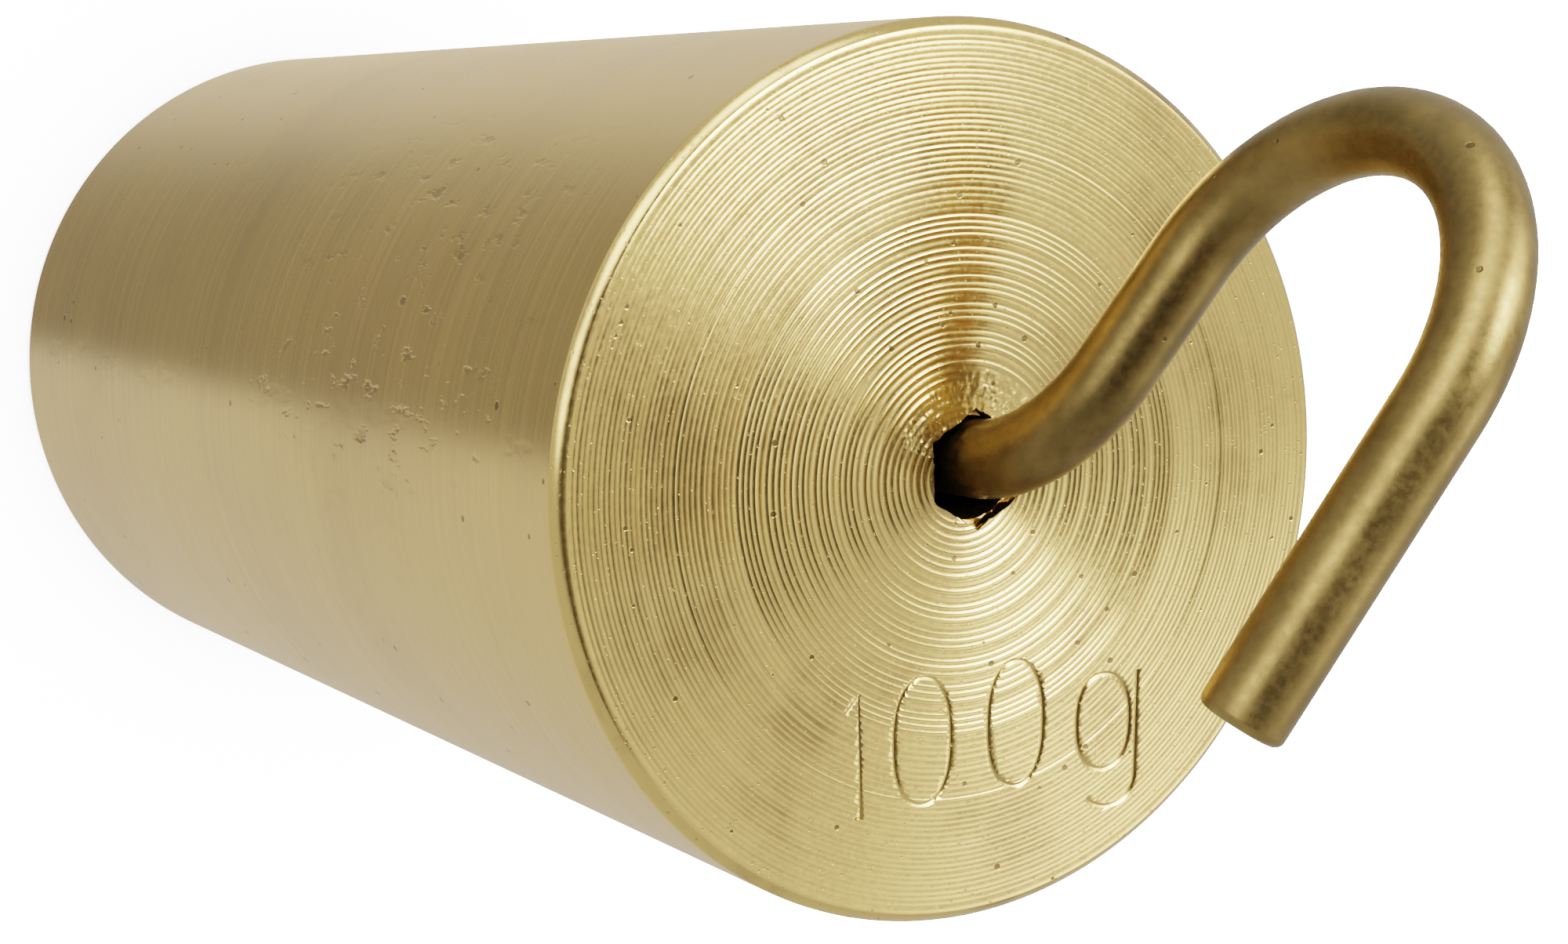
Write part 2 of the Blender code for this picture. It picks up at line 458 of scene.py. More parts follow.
def object_place(tree):
    """Object coordinates, and their X, Y and Z."""
    place = tree.nodes.new("ShaderNodeTexCoord").outputs["Object"]
    axes = tree.nodes.new("ShaderNodeSeparateXYZ")
    feed(tree, axes.inputs["Vector"], place)
    return place, axes.outputs["X"], axes.outputs["Y"], axes.outputs["Z"]


# Depths below the face between which a groove holds no deposit and all of it
CLEAN_DEPTH = 0.004 * MM
STAINED_DEPTH = 0.013 * MM
# The most handled patch of the side: its middle, the reach of its full and of its faint part, and the share
# that heights count in that reach, so that it is drawn out upwards
PATCH_MIDDLE = (1.0 * MM, -9.8 * MM, 28.5 * MM)
PATCH_CORE = 1.0 * MM
PATCH_REACH = 6.5 * MM
PATCH_SQUASH = 0.62
# Turning grooves run round the piece, so a highlight is drawn out across them
ACROSS_GROOVES = 0.25
# Heights above the face between which the wire goes from its darkest to its palest
WIRE_DARK = 2.0 * MM
WIRE_PALEST = 9.0 * MM


def face_brass(finish):
    """Bare turned brass: clean crests, deposit in the valleys, dark pits and a fine grain."""
    material = new_material("turned_face_brass")
    tree = material.node_tree
    place, _, _, z = object_place(tree)
    tarnish = shared(tree, "Tarnish", place, Scale=260.0, Spread=0.4)["Mask"]
    pits = shared(tree, "Pits", place, Scale=3000.0, Size=0.26, Amount=0.16)["Mask"]
    fine_pits = shared(tree, "Pits", place, Scale=9000.0, Size=0.4, Amount=0.26)["Mask"]
    valley = span(tree, z, TOP - STAINED_DEPTH, TOP - CLEAN_DEPTH, 1.0, 0.0)
    stain = maths(tree, "MULTIPLY", valley, span(tree, tarnish, 0.0, 1.0, 0.2, 0.55))
    marks = maths(tree, "MAXIMUM", scaled(tree, pits, 0.85), scaled(tree, fine_pits, 0.45))
    base = blend_colour(tree, scaled(tree, tarnish, 0.35), rgba(finish.face), rgba(finish.tarnish))
    base = blend_colour(tree, maths(tree, "MAXIMUM", stain, marks), base, rgba(finish.dirt))
    grain = noise(tree, place, 9000.0, 3.0, 0.6)
    rough = maths(tree, "ADD", span(tree, grain, 0.3, 0.7, 0.17, 0.24), scaled(tree, marks, 0.2))
    height = maths(tree, "SUBTRACT", scaled(tree, grain, 0.12), marks)
    metal(tree, base, rough, height, 0.006 * MM, Anisotropic=0.5, Anisotropic_Rotation=ACROSS_GROOVES)
    return material


def patch_mask(tree, place):
    """One in the middle of the handled patch, and zero outside it."""
    away = add(tree, "ShaderNodeVectorMath")
    away.operation = "DISTANCE"
    feed(tree, away.inputs[0], stretched(tree, place, (1.0, 1.0, PATCH_SQUASH)))
    away.inputs[1].default_value = (PATCH_MIDDLE[0], PATCH_MIDDLE[1], PATCH_SQUASH * PATCH_MIDDLE[2])
    return span(tree, away.outputs["Value"], PATCH_CORE, PATCH_REACH, 1.0, 0.0)


def side_brass(finish):
    """Satin brass of the side: faint turning lines, clouds of tarnish, a scuffed patch and loose specks."""
    material = new_material("satin_side_brass")
    tree = material.node_tree
    place, _, _, _ = object_place(tree)
    lines = noise(tree, stretched(tree, place, (60.0, 60.0, 9000.0)), 1.0, 4.0, 0.6)
    clouds = shared(tree, "Tarnish", place, Scale=120.0, Spread=0.42)["Mask"]
    pits = shared(tree, "Pits", place, Scale=1700.0, Size=0.2, Amount=0.2)["Mask"]
    patch = patch_mask(tree, place)
    drawn = stretched(tree, place, (1.0, 1.0, 0.45), rotation=(0.0, 0.0, 0.5))
    scuffs = shared(tree, "Scuffs", drawn, Scale=2300.0, Amount=patch)
    stray = shared(tree, "Scuffs", drawn, Scale=900.0, Amount=0.3)
    worn = scaled(tree, maths(tree, "ADD", clouds, patch), 0.32)
    base = blend_colour(tree, worn, rgba(finish.side), rgba(finish.tarnish))
    base = blend_colour(tree, scaled(tree, pits, 0.6), base, rgba(finish.dirt))
    base = blend_colour(tree, scaled(tree, scuffs["Mask"], 0.35), base, rgba(finish.dirt))
    rough = maths(tree, "ADD", span(tree, lines, 0.3, 0.7, 0.22, 0.28), scaled(tree, patch, 0.06))
    height = maths(tree, "ADD", scaled(tree, lines, 0.05), scaled(tree, scuffs["Height"], 1.5))
    height = maths(tree, "ADD", height, scaled(tree, stray["Height"], 0.4))
    height = maths(tree, "SUBTRACT", height, scaled(tree, pits, 0.3))
    metal(tree, base, rough, height, 0.02 * MM, Anisotropic=0.8, Anisotropic_Rotation=ACROSS_GROOVES)
    return material


def wire_brass(finish):
    """Brown tarnished wire: darker near the bore and in blotches, with tiny specks."""
    material = new_material("tarnished_wire_brass")
    tree = material.node_tree
    place, _, _, z = object_place(tree)
    blotches = shared(tree, "Tarnish", place, Scale=420.0, Spread=0.5)["Mask"]
    # The wire's colour gets darker the nearer it is to the face
    near_bore = span(tree, z, TOP + WIRE_DARK, TOP + WIRE_PALEST, 0.62, 0.06)
    darkened = maths(tree, "ADD", scaled(tree, blotches, 0.5), near_bore)
    pits = shared(tree, "Pits", place, Scale=2400.0, Size=0.25, Amount=0.1)["Mask"]
    fine = noise(tree, place, 5200.0, 4.0, 0.65)
    base = blend_colour(tree, darkened, rgba(finish.wire), rgba(finish.wire, 0.42))
    base = blend_colour(tree, scaled(tree, pits, 0.6), base, rgba(finish.dirt))
    rough = span(tree, fine, 0.3, 0.7, 0.33, 0.44)
    height = maths(tree, "SUBTRACT", scaled(tree, fine, 0.3), pits)
    metal(tree, base, rough, height, 0.012 * MM)
    return material


def plain_brass(finish):
    """Plain brass of the plug and the washer, with turning rings and a little tarnish."""
    material = new_material("plain_turned_brass")
    tree = material.node_tree
    place, _, _, _ = object_place(tree)
    clouds = shared(tree, "Tarnish", place, Scale=300.0, Spread=0.5)["Mask"]
    pits = shared(tree, "Pits", place, Scale=2200.0, Size=0.28, Amount=0.12)["Mask"]
    grain = noise(tree, place, 6000.0, 3.0, 0.6)
    base = blend_colour(tree, clouds, rgba(finish.plug), rgba(finish.plug, 0.8))
    base = blend_colour(tree, scaled(tree, pits, 0.7), base, rgba(finish.dirt))
    rough = span(tree, grain, 0.3, 0.7, 0.3, 0.4)
    height = maths(tree, "SUBTRACT", scaled(tree, grain, 0.2), pits)
    metal(tree, base, rough, height, 0.01 * MM, Anisotropic=0.4, Anisotropic_Rotation=ACROSS_GROOVES)
    return material


def soft_lead(finish):
    """Dull lead: a grey oxide bloom over a soft hammered surface."""
    material = new_material("soft_lead")
    tree = material.node_tree
    place, _, _, _ = object_place(tree)
    bloom = shared(tree, "Tarnish", place, Scale=700.0, Spread=0.5)["Mask"]
    dents = shared(tree, "Scuffs", place, Scale=1200.0, Amount=0.8)
    base = blend_colour(tree, bloom, rgba(finish.lead), rgba(finish.lead, 0.6))
    rough = span(tree, bloom, 0.0, 1.0, 0.45, 0.65)
    metal(tree, base, rough, dents["Height"], 0.03 * MM)
    return material


def dress(piece, material):
    piece.data.materials.clear()
    piece.data.materials.append(material)


# ---------------------------------------------------------------- body

# Rounding of the rim's corners, and the small flat land just inside them
SOFT_EDGE = 0.03 * MM
RIM_LAND = 0.02 * MM
# Where the grooves of the face begin, clear of its middle
GROOVES_START = 0.5 * MM
# Chamfer of the cavity in the base, and the plain ring round it
CAVITY_CHAMFER = 0.12 * MM
CAVITY_RING = 0.25 * MM
SIDE_ROWS = 20


def grooved_face(settings, edge, rng):
    """From the middle of the face to its edge, with grooves that get finer and shallower outwards."""
    def pitch_at(radius):
        return settings.inner_pitch + (settings.outer_pitch - settings.inner_pitch) * radius / edge

    def depth_at(radius):
        return settings.groove_depth * (1.75 - radius / edge)

    start = [(0.0, TOP), (GROOVES_START, TOP)]
    return start + ring_grooves(GROOVES_START, edge, pitch_at, depth_at, TOP, -1.0, rng)


def rims_and_side(settings, edge):
    """From the edge of the face over its chamfer, down the side and over the base's chamfer."""
    turned_in = BODY_RADIUS - 0.6 * SOFT_EDGE
    high = TOP - settings.chamfer - SOFT_EDGE
    low = settings.chamfer + SOFT_EDGE
    points = [(edge - RIM_LAND, TOP), (edge + SOFT_EDGE, TOP - 0.6 * SOFT_EDGE)]
    points += [(turned_in, TOP - settings.chamfer + SOFT_EDGE)]
    points += [(BODY_RADIUS, high), (BODY_RADIUS, high - SOFT_EDGE)]
    points += [(BODY_RADIUS, high + (low - high) * i / SIDE_ROWS) for i in range(1, SIDE_ROWS)]
    points += [(BODY_RADIUS, low + SOFT_EDGE), (BODY_RADIUS, low)]
    points += [(turned_in, settings.chamfer - SOFT_EDGE)]
    points += [(edge + SOFT_EDGE, 0.6 * SOFT_EDGE), (edge - RIM_LAND, 0.0)]
    return points


def grooved_base(settings, edge, rng):
    """From the edge of the base to its cavity, and up into that."""
    ring = CAVITY_RADIUS + CAVITY_RING
    depth = 0.8 * settings.groove_depth
    pitch = settings.base_pitch
    points = ring_grooves(edge - RIM_LAND, ring, lambda r: pitch, lambda r: depth, 0.0, 1.0, rng)
    points += [(ring, 0.0), (CAVITY_RADIUS + CAVITY_CHAMFER, 0.0), (CAVITY_RADIUS, CAVITY_CHAMFER)]
    points += [(CAVITY_RADIUS, CAVITY_DEPTH), (0.0, CAVITY_DEPTH)]
    return points


def body_profile(settings):
    """Half section of the body, from the middle of its face out, down its side and into its cavity."""
    rng = random.Random(11)
    edge = BODY_RADIUS - settings.chamfer
    face = grooved_face(settings, edge, rng)
    side = rims_and_side(settings, edge)
    return face + side + grooved_base(settings, edge, rng)


# How far a cutter stands past the surface that it cuts
OVERCUT = 1.0 * MM
BORE_SIDES = 64
# Corners of the torn mouth, and the cuts that its sides are split by before they are torn
MOUTH_SIDES = 6
MOUTH_CUTS = 7


def bore_cutter(settings):
    """The drill's own cylinder, from inside the cavity to above the face."""
    low = CAVITY_DEPTH - OVERCUT
    high = TOP + OVERCUT
    bpy.ops.object.select_all(action="DESELECT")
    bpy.ops.mesh.primitive_cylinder_add(vertices=BORE_SIDES, radius=settings.bore / 2, depth=high - low)
    cutter = named("bore_cutter")
    edit(cutter)
    bpy.ops.mesh.select_all(action="SELECT")
    bpy.ops.transform.translate(value=(SWIVEL.x, SWIVEL.y, (high + low) / 2))
    leave_edit()
    return cutter


def mouth_cutter(settings):
    """A six-cornered prism with torn sides, for the mouth that the drill left."""
    depth = 2 * settings.mouth_depth
    bpy.ops.object.select_all(action="DESELECT")
    bpy.ops.mesh.primitive_cylinder_add(vertices=MOUTH_SIDES, radius=settings.mouth / 2, depth=depth)
    cutter = named("mouth_cutter")
    edit(cutter)
    bpy.ops.mesh.select_all(action="SELECT")
    bpy.ops.transform.translate(value=(SWIVEL.x, SWIVEL.y, TOP))
    leave_edit()
    pick_faces(cutter, lambda centre, normal: abs(normal.z) < 0.5)
    bpy.ops.mesh.subdivide(number_cuts=MOUTH_CUTS)
    bpy.ops.transform.vertex_random(offset=settings.tear, uniform=0.0, normal=0.0, seed=5)
    leave_edit()
    apply_modifier(cutter, "TRIANGULATE")
    return cutter


# The engraved value is drawn in a cell one unit high: u runs to the right, and v up from the line
MARK_RIGHT = Vector((-0.469, 0.883, 0.0))
MARK_UP = Vector((-0.883, -0.469, 0.0))
MARK_MIDDLE = Vector((4.9 * MM, 2.74 * MM, TOP + 0.004 * MM))
# Depth of a stroke as a share of its half width
MARK_SHALLOW = 0.5


def oval(middle_u, middle_v, width, height, square=0.8, count=48):
    """Points round an upright oval with full shoulders."""
    points = []
    for i in range(count):
        c = math.cos(math.tau * i / count)
        s = math.sin(math.tau * i / count)
        points.append((middle_u + width / 2 * math.copysign(abs(c) ** 0.95, c),
                       middle_v + height / 2 * math.copysign(abs(s) ** square, s)))
    return points + points[:1]


def arc(middle_u, middle_v, radius_u, radius_v, start, end, count=18):
    points = []
    for i in range(count + 1):
        angle = math.radians(start + (end - start) * i / count)
        points.append((middle_u + radius_u * math.cos(angle), middle_v + radius_v * math.sin(angle)))
    return points


def digit_one(u, v):
    return [[(u - 0.12, v + 0.86), (u, v + 0.99), (u + 0.03, v)]]


def digit_zero(u, v):
    return [oval(u, v + 0.5, 0.54, 1.03)]


def letter_g(u, v):
    """A round bowl, and a stem that turns under it into an open tail."""
    stem = [(u + 0.35, v + 0.95), (u + 0.33, v + 0.1)] + arc(u + 0.05, v + 0.08, 0.28, 0.25, 0.0, -140.0)
    return [oval(u, v + 0.55, 0.54, 0.8), stem]


def mark_strokes():
    """Strokes of the value 100 g about the middle of its zeros, each struck a little off the line."""
    return [digit_one(-1.02, -0.12), digit_zero(-0.42, -0.05), digit_zero(0.48, 0.0), letter_g(1.36, -0.13)]


def mark_cutter(name, strokes, settings):
    """Cutters of a V section along the strokes, made from curves."""
    curve = bpy.data.curves.new(name, "CURVE")
    curve.dimensions = "3D"
    curve.bevel_depth = settings.mark_stroke
    curve.bevel_resolution = 0
    curve.use_fill_caps = True
    for stroke in strokes:
        closed = stroke[0] == stroke[-1]
        points = stroke[:-1] if closed else stroke
        line = curve.splines.new("POLY")
        line.points.add(len(points) - 1)
        line.use_cyclic_u = closed
        for point, (u, v) in zip(line.points, points):
            at = MARK_MIDDLE + (MARK_RIGHT * u + MARK_UP * (v - 0.5)) * settings.mark_height
            point.co = (*at, 1.0)
    cutter = bpy.data.objects.new(name, curve)
    bpy.context.scene.collection.objects.link(cutter)
    select_only(cutter)
    bpy.ops.object.convert(target="MESH")
    edit(cutter)
    close_shape()
    bpy.ops.transform.resize(value=(1.0, 1.0, MARK_SHALLOW), center_override=(0.0, 0.0, TOP))
    leave_edit()
    return cutter


def mark_cutters(settings):
    """Strokes that touch each other are in different cutters."""
    first = [strokes[0] for strokes in mark_strokes()]
    second = [strokes[1] for strokes in mark_strokes() if len(strokes) > 1]
    return [mark_cutter("mark_cutter_a", first, settings), mark_cutter("mark_cutter_b", second, settings)]


# Burrs beside the bore: their height, their reach past its wall, and how far they go round to +X and +Y
BURR_HEIGHT = 0.022 * MM
BURR_REACH = 0.95 * MM
BURR_SIDE_X = 0.35 * MM
BURR_SIDE_Y = 0.5 * MM
# Depth below the face down to which a point still belongs to it
FACE_BAND = 0.05 * MM


def ruffle_face(body, settings):
    """Wavy burrs where the drill pushed up metal beside the bore."""
    reach = settings.bore / 2 + BURR_REACH

    def beside(co):
        away = Vector((co.x - SWIVEL.x, co.y - SWIVEL.y))
        in_ring = GROOVES_START < away.length < reach
        return co.z > TOP - FACE_BAND and in_ring and away.x < BURR_SIDE_X and away.y < BURR_SIDE_Y

    pick_vertices(body, beside)
    bpy.ops.transform.vertex_random(offset=BURR_HEIGHT, uniform=0.0, normal=0.0, seed=3)
    bpy.ops.mesh.vertices_smooth(factor=0.5, repeat=1)
    leave_edit()


def paint_body(body, finish):
    """Turned brass all over, and satin brass on the side."""
    dress(body, face_brass(finish))
    body.data.materials.append(side_brass(finish))
    reach = BODY_RADIUS - 0.1 * MM

    def on_side(centre, normal):
        return math.hypot(centre.x, centre.y) > reach and abs(normal.z) < 0.3

    pick_faces(body, on_side)
    body.active_material_index = 1
    bpy.ops.object.material_slot_assign()
    leave_edit()


class WEIGHT_OT_body(bpy.types.Operator):
    """Turn the brass body with its grooved face, torn bore and engraved value"""
    bl_idname = "weight.body"
    bl_label = "Turned Body"

    def execute(self, context):
        settings = context.scene.weight_body
        body = turn("turned_body", body_profile(settings), settings.steps)
        ruffle_face(body, settings)
        cut_with(body, bore_cutter(settings))
        cut_with(body, mouth_cutter(settings))
        for cutter in mark_cutters(settings):
            cut_with(body, cutter)
        smooth(body)
        paint_body(body, context.scene.weight_finish)
        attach(body, "weight")
        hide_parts("weight_body")
        return {"FINISHED"}


# ---------------------------------------------------------------- hook

# Spread head: share of its height, and share of its full radius there
HEAD_FOOT = 0.62
HEAD_SHAPE = ((0.12, 0.82), (0.3, 0.96), (0.5, 1.0), (0.95, 1.0), (1.0, 0.94))
SHANK_PARTS = 8
SLANT_PARTS = 3
LIMB_PARTS = 8
BEND_STEP = math.radians(4.0)


def draw_out(step, parts):
    """In edit mode: the selected end of the wire drawn along the step, in equal parts."""
    for _ in range(parts):
        bpy.ops.mesh.extrude_region_move(TRANSFORM_OT_translate={"value": step / parts})


def ahead(heading, distance):
    """A step of the wire in its own plane. Heading 0 is up, and a positive one leans towards -X."""
    return Vector((-math.sin(heading), 0.0, math.cos(heading))) * distance


def turned_point(point, centre, angle):
    """The point turned about the bend axis through the centre."""
    return centre + Quaternion(BEND_AXIS, angle) @ (point - centre)


def sweep_bend(end, heading, radius, angle):
    """In edit mode: the selected end bent through the angle in short steps."""
    side = math.copysign(1.0, angle)
    centre = end + Vector((-side * math.cos(heading), 0.0, -side * math.sin(heading))) * radius
    count = math.ceil(abs(angle) / BEND_STEP)
    for _ in range(count):
        bpy.ops.mesh.extrude_region_move(TRANSFORM_OT_translate={"value": (0.0, 0.0, 0.0)})
        bpy.ops.transform.rotate(value=angle / count, orient_axis="Y", center_override=centre)
        end = turned_point(end, centre, -angle / count)
    return end


def spread_head(settings):
    """The spread head, left in edit mode with its neck selected. Gives the hook and the neck's middle."""
    foot = Vector((SWIVEL.x, SWIVEL.y, HOOK_LOW.z))
    bpy.ops.object.select_all(action="DESELECT")
    foot_radius = HEAD_FOOT * HEAD_RADIUS
    bpy.ops.mesh.primitive_circle_add(vertices=settings.sides, radius=foot_radius, fill_type="NGON")
    hook = named("wire_hook")
    edit(hook)
    bpy.ops.mesh.select_all(action="SELECT")
    bpy.ops.transform.translate(value=foot)
    neck = (1.0, settings.wire / 2 / HEAD_RADIUS)
    last_height = 0.0
    last_width = HEAD_FOOT
    for height, width in (*HEAD_SHAPE, neck):
        rise = (height - last_height) * settings.head_height
        bpy.ops.mesh.extrude_region_move(TRANSFORM_OT_translate={"value": (0.0, 0.0, rise)})
        grown = width / last_width
        bpy.ops.transform.resize(value=(grown, grown, 1.0), center_override=(SWIVEL.x, SWIVEL.y, 0.0))
        last_height = height
        last_width = width
    return hook, foot + Vector((0.0, 0.0, settings.head_height))


def bend_wire(settings, neck):
    """In edit mode: the wire led from the neck by shank, shoulder, slant, crown and free limb to its tip."""
    end = Vector((SWIVEL.x - settings.lean, SWIVEL.y, TOP - settings.start))
    draw_out(end - neck, SHANK_PARTS)
    end = sweep_bend(end, 0.0, settings.shoulder, settings.slant)
    slanting = ahead(settings.slant, settings.slant_length)
    draw_out(slanting, SLANT_PARTS)
    end = sweep_bend(end + slanting, settings.slant, settings.crown, -settings.crown_turn)
    free = ahead(settings.slant - settings.crown_turn, settings.limb)
    draw_out(free, LIMB_PARTS)
    return end + free


def round_tip(hook, tip, settings):
    """The cut end's sharp edge taken off."""
    reach = 0.05 * settings.wire
    pick_faces(hook, lambda centre, normal: (centre - tip).length < reach)
    bpy.ops.mesh.bevel(offset=settings.end_round, segments=4, affect="EDGES")
    close_shape()
    leave_edit()


class WEIGHT_OT_hook(bpy.types.Operator):
    """Bend the tarnished wire hook and spread the head on its lower end"""
    bl_idname = "weight.hook"
    bl_label = "Wire Hook"

    def execute(self, context):
        settings = context.scene.weight_hook
        hook, neck = spread_head(settings)
        tip = bend_wire(settings, neck)
        leave_edit()
        round_tip(hook, tip, settings)
        smooth(hook, math.radians(50.0))
        dress(hook, wire_brass(context.scene.weight_finish))
        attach(hook, "hook")
        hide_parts("hook")
        return {"FINISHED"}


# ---------------------------------------------------------------- base plug and hidden pieces

# The plug fills its cavity but for this
PRESS_GAP = 0.006 * MM
PLUG_CHAMFER = 0.18 * MM
PLUG_PITCH = 0.16 * MM
PLUG_GROOVE = 0.009 * MM
PLUG_STEPS = 128
# Centre mark of the lathe: its depth, and its radius
CENTRE_DEPTH = 0.22 * MM
CENTRE_RADIUS = 0.34 * MM
CENTRE_LIP = (0.28 * MM, 0.03 * MM)


def plug_profile():
    """Half section of the plug, from its centre mark out over its rings and up its side."""
    rng = random.Random(4)
    low = PLUG_LOW.z
    high = PLUG_HIGH.z
    outer = CAVITY_RADIUS - PRESS_GAP
    edge = outer - PLUG_CHAMFER
    rounding = 0.3 * PLUG_CHAMFER
    profile = [(0.0, low + CENTRE_DEPTH), (CENTRE_LIP[0], low + CENTRE_LIP[1]), (CENTRE_RADIUS, low)]
    profile += ring_grooves(CENTRE_RADIUS, edge, lambda r: PLUG_PITCH, lambda r: PLUG_GROOVE, low, 1.0, rng)
    profile += [(edge, low), (outer - rounding, low + rounding), (outer, low + PLUG_CHAMFER)]
    profile += [(outer, high - PLUG_CHAMFER), (edge, high), (0.0, high)]
    return profile


class WEIGHT_OT_plug(bpy.types.Operator):
    """Turn the brass plug that is pressed into the base, with its rings and centre mark"""
    bl_idname = "weight.plug"
    bl_label = "Base Plug"

    def execute(self, context):
        plug = turn("pressed_plug", plug_profile(), PLUG_STEPS)
        smooth(plug)
        dress(plug, plain_brass(context.scene.weight_finish))
        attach(plug, "weight")
        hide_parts("base_plug")
        return {"FINISHED"}


class WEIGHT_OT_inside(bpy.types.Operator):
    """Finish the washer and the trim slug, which stay as they were built"""
    bl_idname = "weight.inside"
    bl_label = "Washer and Slug"

    def execute(self, context):
        brass = bpy.data.materials["plain_turned_brass"]
        lead = soft_lead(context.scene.weight_finish)
        for name, material in (("hook_washer", brass), ("trim_slug", lead)):
            for slot in bpy.data.objects[name].material_slots:
                slot.material = material
        return {"FINISHED"}


# ---------------------------------------------------------------- stage

def direction(azimuth, elevation):
    """Unit vector towards a compass direction: azimuth 0 is -Y, and 90 degrees is +X."""
    flat = math.cos(elevation)
    return Vector((math.sin(azimuth) * flat, -math.cos(azimuth) * flat, math.sin(elevation)))


def aim(thing, target, roll=0.0):
    thing.rotation_mode = "QUATERNION"
    look = (target - thing.location).to_track_quat("-Z", "Y")
    thing.rotation_quaternion = look @ Quaternion((0.0, 0.0, 1.0), roll)


# Strength at which a surface that the camera sees directly comes out white
WHITE = 20.0
# Contact shadow painted into the floor's glow: how far it reaches, and its strength at its darkest
SHADOW_REACH = 14.0 * MM
SHADOW_STRENGTH = 0.8
# Share of the floor's look that is its own glow, so that it stays pale
GLOW_SHARE = 0.85


def floor_material():
    """Pale floor with a soft contact shadow, painted into its glow where the floor is hidden from the room.
    It leaves the metal to mirror the room's own lower half, and is clear from below, so that the base can be
    seen."""
    material = new_material("pale_floor")
    tree = material.node_tree
    paint = add(tree, "ShaderNodeBsdfDiffuse", Color=(0.82, 0.82, 0.82, 1.0))
    # Painted contact shadow: the glow is dimmed where ambient occlusion finds the weight close by
    nearby = add(tree, "ShaderNodeAmbientOcclusion", Distance=SHADOW_REACH)
    glow = add(tree, "ShaderNodeEmission")
    feed(tree, glow.inputs["Strength"], span(tree, nearby.outputs["AO"], 0.25, 1.0, SHADOW_STRENGTH, WHITE))
    clear = add(tree, "ShaderNodeBsdfTransparent")
    path = tree.nodes.new("ShaderNodeLightPath").outputs
    below = tree.nodes.new("ShaderNodeNewGeometry").outputs["Backfacing"]
    pale = tree.nodes.new("ShaderNodeMixShader")
    feed(tree, pale.inputs[0], scaled(tree, path["Is Camera Ray"], GLOW_SHARE))
    feed(tree, pale.inputs[1], paint.outputs[0])
    feed(tree, pale.inputs[2], glow.outputs[0])
    floor = tree.nodes.new("ShaderNodeMixShader")
    feed(tree, floor.inputs[0], maths(tree, "MAXIMUM", path["Is Glossy Ray"], below))
    feed(tree, floor.inputs[1], pale.outputs[0])
    feed(tree, floor.inputs[2], clear.outputs[0])
    feed(tree, tree.nodes.new("ShaderNodeOutputMaterial").inputs["Surface"], floor.outputs[0])
    return material


# Soft lights of the room: azimuth, elevation and half width in degrees, and strength
SOFT_LIGHTS = (
    (252.0, 60.0, 18.0, 19.0),
    (180.0, 38.0, 17.0, 2.6),
    (242.0, 36.0, 22.0, 4.0),
    (336.0, 27.0, 24.0, 4.6),
    (300.0, 18.0, 22.0, 4.6),
    (10.0, 27.0, 20.0, 3.6),
)
# Where the person behind the camera keeps the light out: azimuth, elevation and half width
SHADE = (15.0, 74.0, 46.0)
SHADE_LIGHT = 0.12
# The darker wedge of the table: compass angles between which it comes in and goes out, and the heights below
# the horizon between which its sharp part goes over into its faint one
WEDGE_IN = (math.radians(-95.0), math.radians(-25.0))
WEDGE_OUT = (math.radians(26.0), math.radians(39.0))
WEDGE_STEEP = (-0.78, -0.6)
WEDGE_FADES = (0.0, math.radians(80.0))
WEDGE_FAINT = 0.45
WEDGE_LIGHT = 0.33


def spot_share(tree, ray, azimuth, elevation, width):
    """One in the middle of a round patch of the room, falling softly to zero at its half width."""
    facing = tree.nodes.new("ShaderNodeVectorMath")
    facing.operation = "DOT_PRODUCT"
    feed(tree, facing.inputs[0], ray)
    facing.inputs[1].default_value = direction(math.radians(azimuth), math.radians(elevation))
    return span(tree, facing.outputs["Value"], math.cos(math.radians(width)), 1.0)


def lower_half(tree, axes, settings):
    """The pale table as the metal mirrors it, with a darker wedge on the side away from the lights."""
    back = scaled(tree, axes["Y"], -1.0)
    compass = maths(tree, "ARCTAN2", axes["X"], back)
    dark_in = span(tree, compass, *WEDGE_IN)
    steep = span(tree, axes["Z"], *WEDGE_STEEP, 1.0, 0.0)
    sharp = maths(tree, "MULTIPLY", span(tree, compass, *WEDGE_OUT, 1.0, 0.0), steep)
    fading = span(tree, compass, *WEDGE_FADES, WEDGE_FAINT, 0.0)
    faint = maths(tree, "MULTIPLY", fading, maths(tree, "SUBTRACT", 1.0, steep))
    dark = maths(tree, "MULTIPLY", dark_in, maths(tree, "ADD", sharp, faint))
    return maths(tree, "MULTIPLY", span(tree, dark, 0.0, 1.0, 1.0, WEDGE_LIGHT), settings.table)


def upper_half(tree, ray, settings):
    """The room above the table: an even light, dimmed behind the camera, and the soft lights."""
    shade = spot_share(tree, ray, *SHADE)
    light = span(tree, shade, 0.0, 0.5, settings.ambient, SHADE_LIGHT * settings.ambient)
    for azimuth, elevation, width, strength in SOFT_LIGHTS:
        share = spot_share(tree, ray, azimuth, elevation, width)
        light = maths(tree, "ADD", light, scaled(tree, share, strength))
    return light


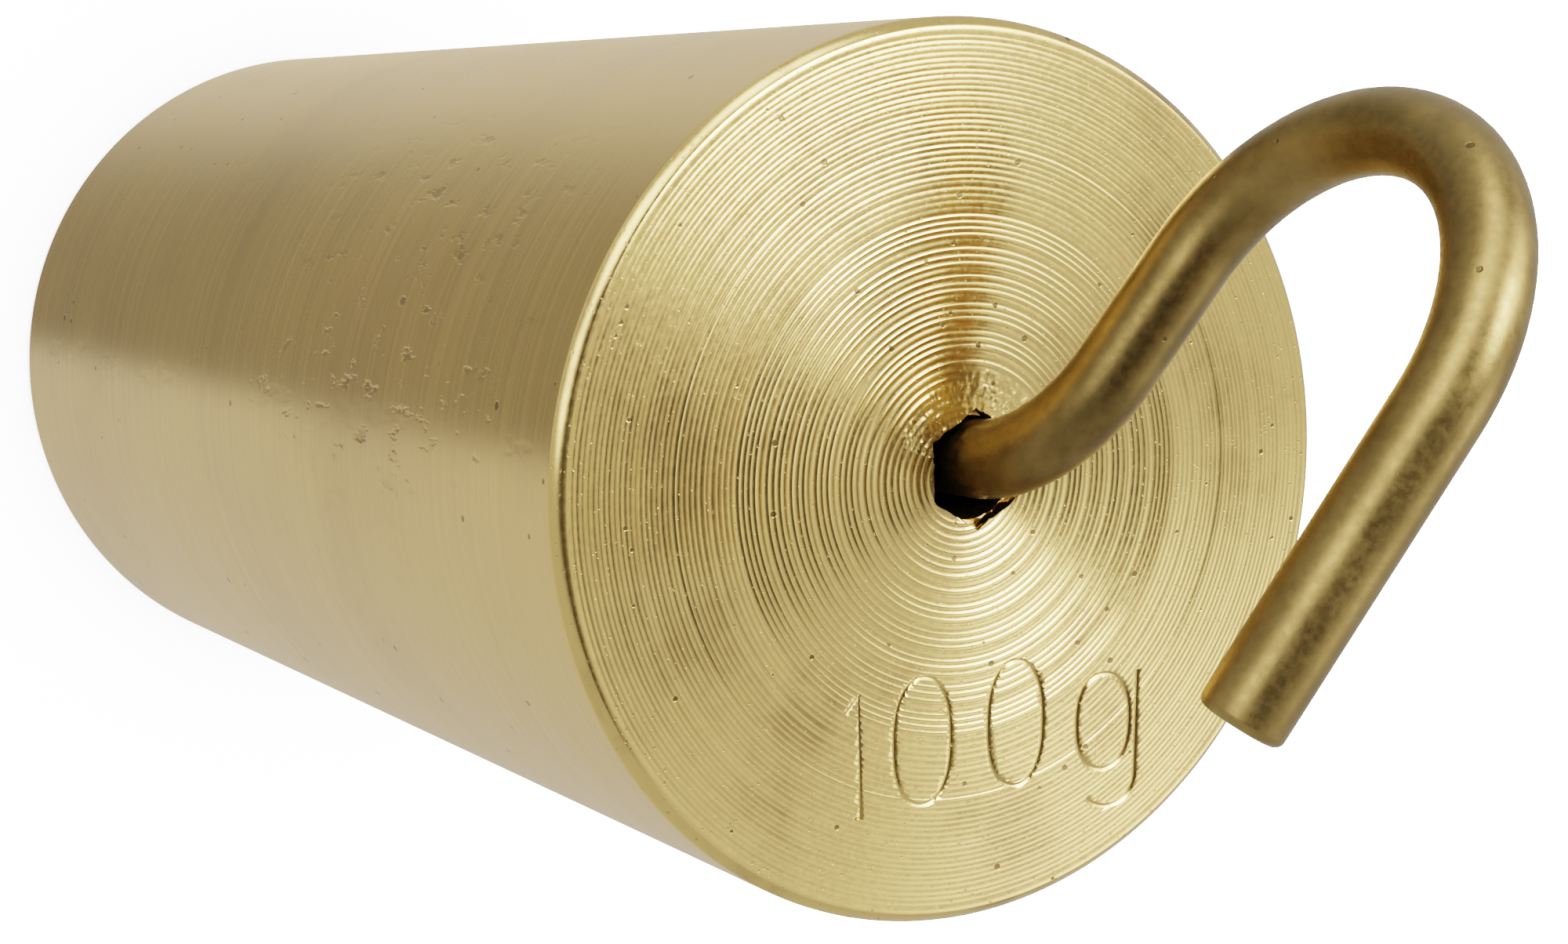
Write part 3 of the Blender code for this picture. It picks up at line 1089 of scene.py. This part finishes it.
def room(settings):
    """A plain room of soft lights, white where it is seen directly."""
    world = bpy.data.worlds.new("room")
    bpy.context.scene.world = world
    world.use_nodes = True
    tree = world.node_tree
    tree.nodes.clear()
    ray = tree.nodes.new("ShaderNodeTexCoord").outputs["Generated"]
    split = tree.nodes.new("ShaderNodeSeparateXYZ")
    feed(tree, split.inputs["Vector"], ray)
    axes = split.outputs
    above = span(tree, axes["Z"], -0.02, 0.02)
    level = maths(tree, "MULTIPLY", upper_half(tree, ray, settings), above)
    below = maths(tree, "MULTIPLY", lower_half(tree, axes, settings), maths(tree, "SUBTRACT", 1.0, above))
    dome = add(tree, "ShaderNodeBackground", Color=(1.0, 1.0, 1.0, 1.0))
    feed(tree, dome.inputs["Strength"], maths(tree, "ADD", level, below))
    white = add(tree, "ShaderNodeBackground", Color=(1.0, 1.0, 1.0, 1.0), Strength=WHITE)
    mix = tree.nodes.new("ShaderNodeMixShader")
    feed(tree, mix.inputs[0], tree.nodes.new("ShaderNodeLightPath").outputs["Is Camera Ray"])
    feed(tree, mix.inputs[1], dome.outputs[0])
    feed(tree, mix.inputs[2], white.outputs[0])
    feed(tree, tree.nodes.new("ShaderNodeOutputWorld").inputs["Surface"], mix.outputs[0])


# Where the camera is aimed: on the face, beside its middle
AIM = Vector((1.80 * MM, -4.20 * MM, TOP))


def set_camera(context, settings):
    place = AIM + direction(settings.azimuth, settings.elevation) * settings.distance
    bpy.ops.object.camera_add(location=place)
    camera = context.active_object
    camera.name = "camera"
    camera.data.lens = settings.lens
    camera.data.sensor_width = 36.0
    camera.data.clip_start = 0.001
    camera.data.clip_end = 20.0
    aim(camera, AIM, settings.roll)
    context.scene.camera = camera


class WEIGHT_OT_stage(bpy.types.Operator):
    """Lay the floor, light it softly and set up the camera"""
    bl_idname = "weight.stage"
    bl_label = "Stage"

    def execute(self, context):
        settings = context.scene.weight_studio
        bpy.ops.object.select_all(action="DESELECT")
        bpy.ops.mesh.primitive_plane_add(size=settings.floor)
        floor = named("floor")
        dress(floor, floor_material())
        room(settings)
        set_camera(context, settings)
        context.scene.view_settings.view_transform = "Filmic"
        context.scene.view_settings.look = "Medium High Contrast"
        return {"FINISHED"}


# ---------------------------------------------------------------- panel and registration

class WEIGHT_PT_panel(bpy.types.Panel):
    """Buttons for each piece, in the order that they are made"""
    bl_idname = "WEIGHT_PT_panel"
    bl_label = "Hooked Weight"
    bl_space_type = "VIEW_3D"
    bl_region_type = "UI"
    bl_category = "Weight"

    def draw(self, context):
        for operator in OPERATORS:
            self.layout.operator(operator.bl_idname)


OPERATORS = (WEIGHT_OT_body, WEIGHT_OT_hook, WEIGHT_OT_plug, WEIGHT_OT_inside, WEIGHT_OT_stage)
SETTINGS = {"weight_body": BodySettings, "weight_hook": HookSettings,
            "weight_finish": FinishSettings, "weight_studio": StudioSettings}


def register():
    for cls in (*SETTINGS.values(), *OPERATORS, WEIGHT_PT_panel):
        bpy.utils.register_class(cls)
    for name, cls in SETTINGS.items():
        setattr(bpy.types.Scene, name, PointerProperty(type=cls))


def unregister():
    for name in SETTINGS:
        delattr(bpy.types.Scene, name)
    for cls in (WEIGHT_PT_panel, *OPERATORS, *SETTINGS.values()):
        bpy.utils.unregister_class(cls)


def main():
    register()
    bpy.ops.weight.body()
    bpy.ops.weight.hook()
    bpy.ops.weight.plug()
    bpy.ops.weight.inside()
    bpy.ops.weight.stage()


if __name__ == "__main__":
    main()
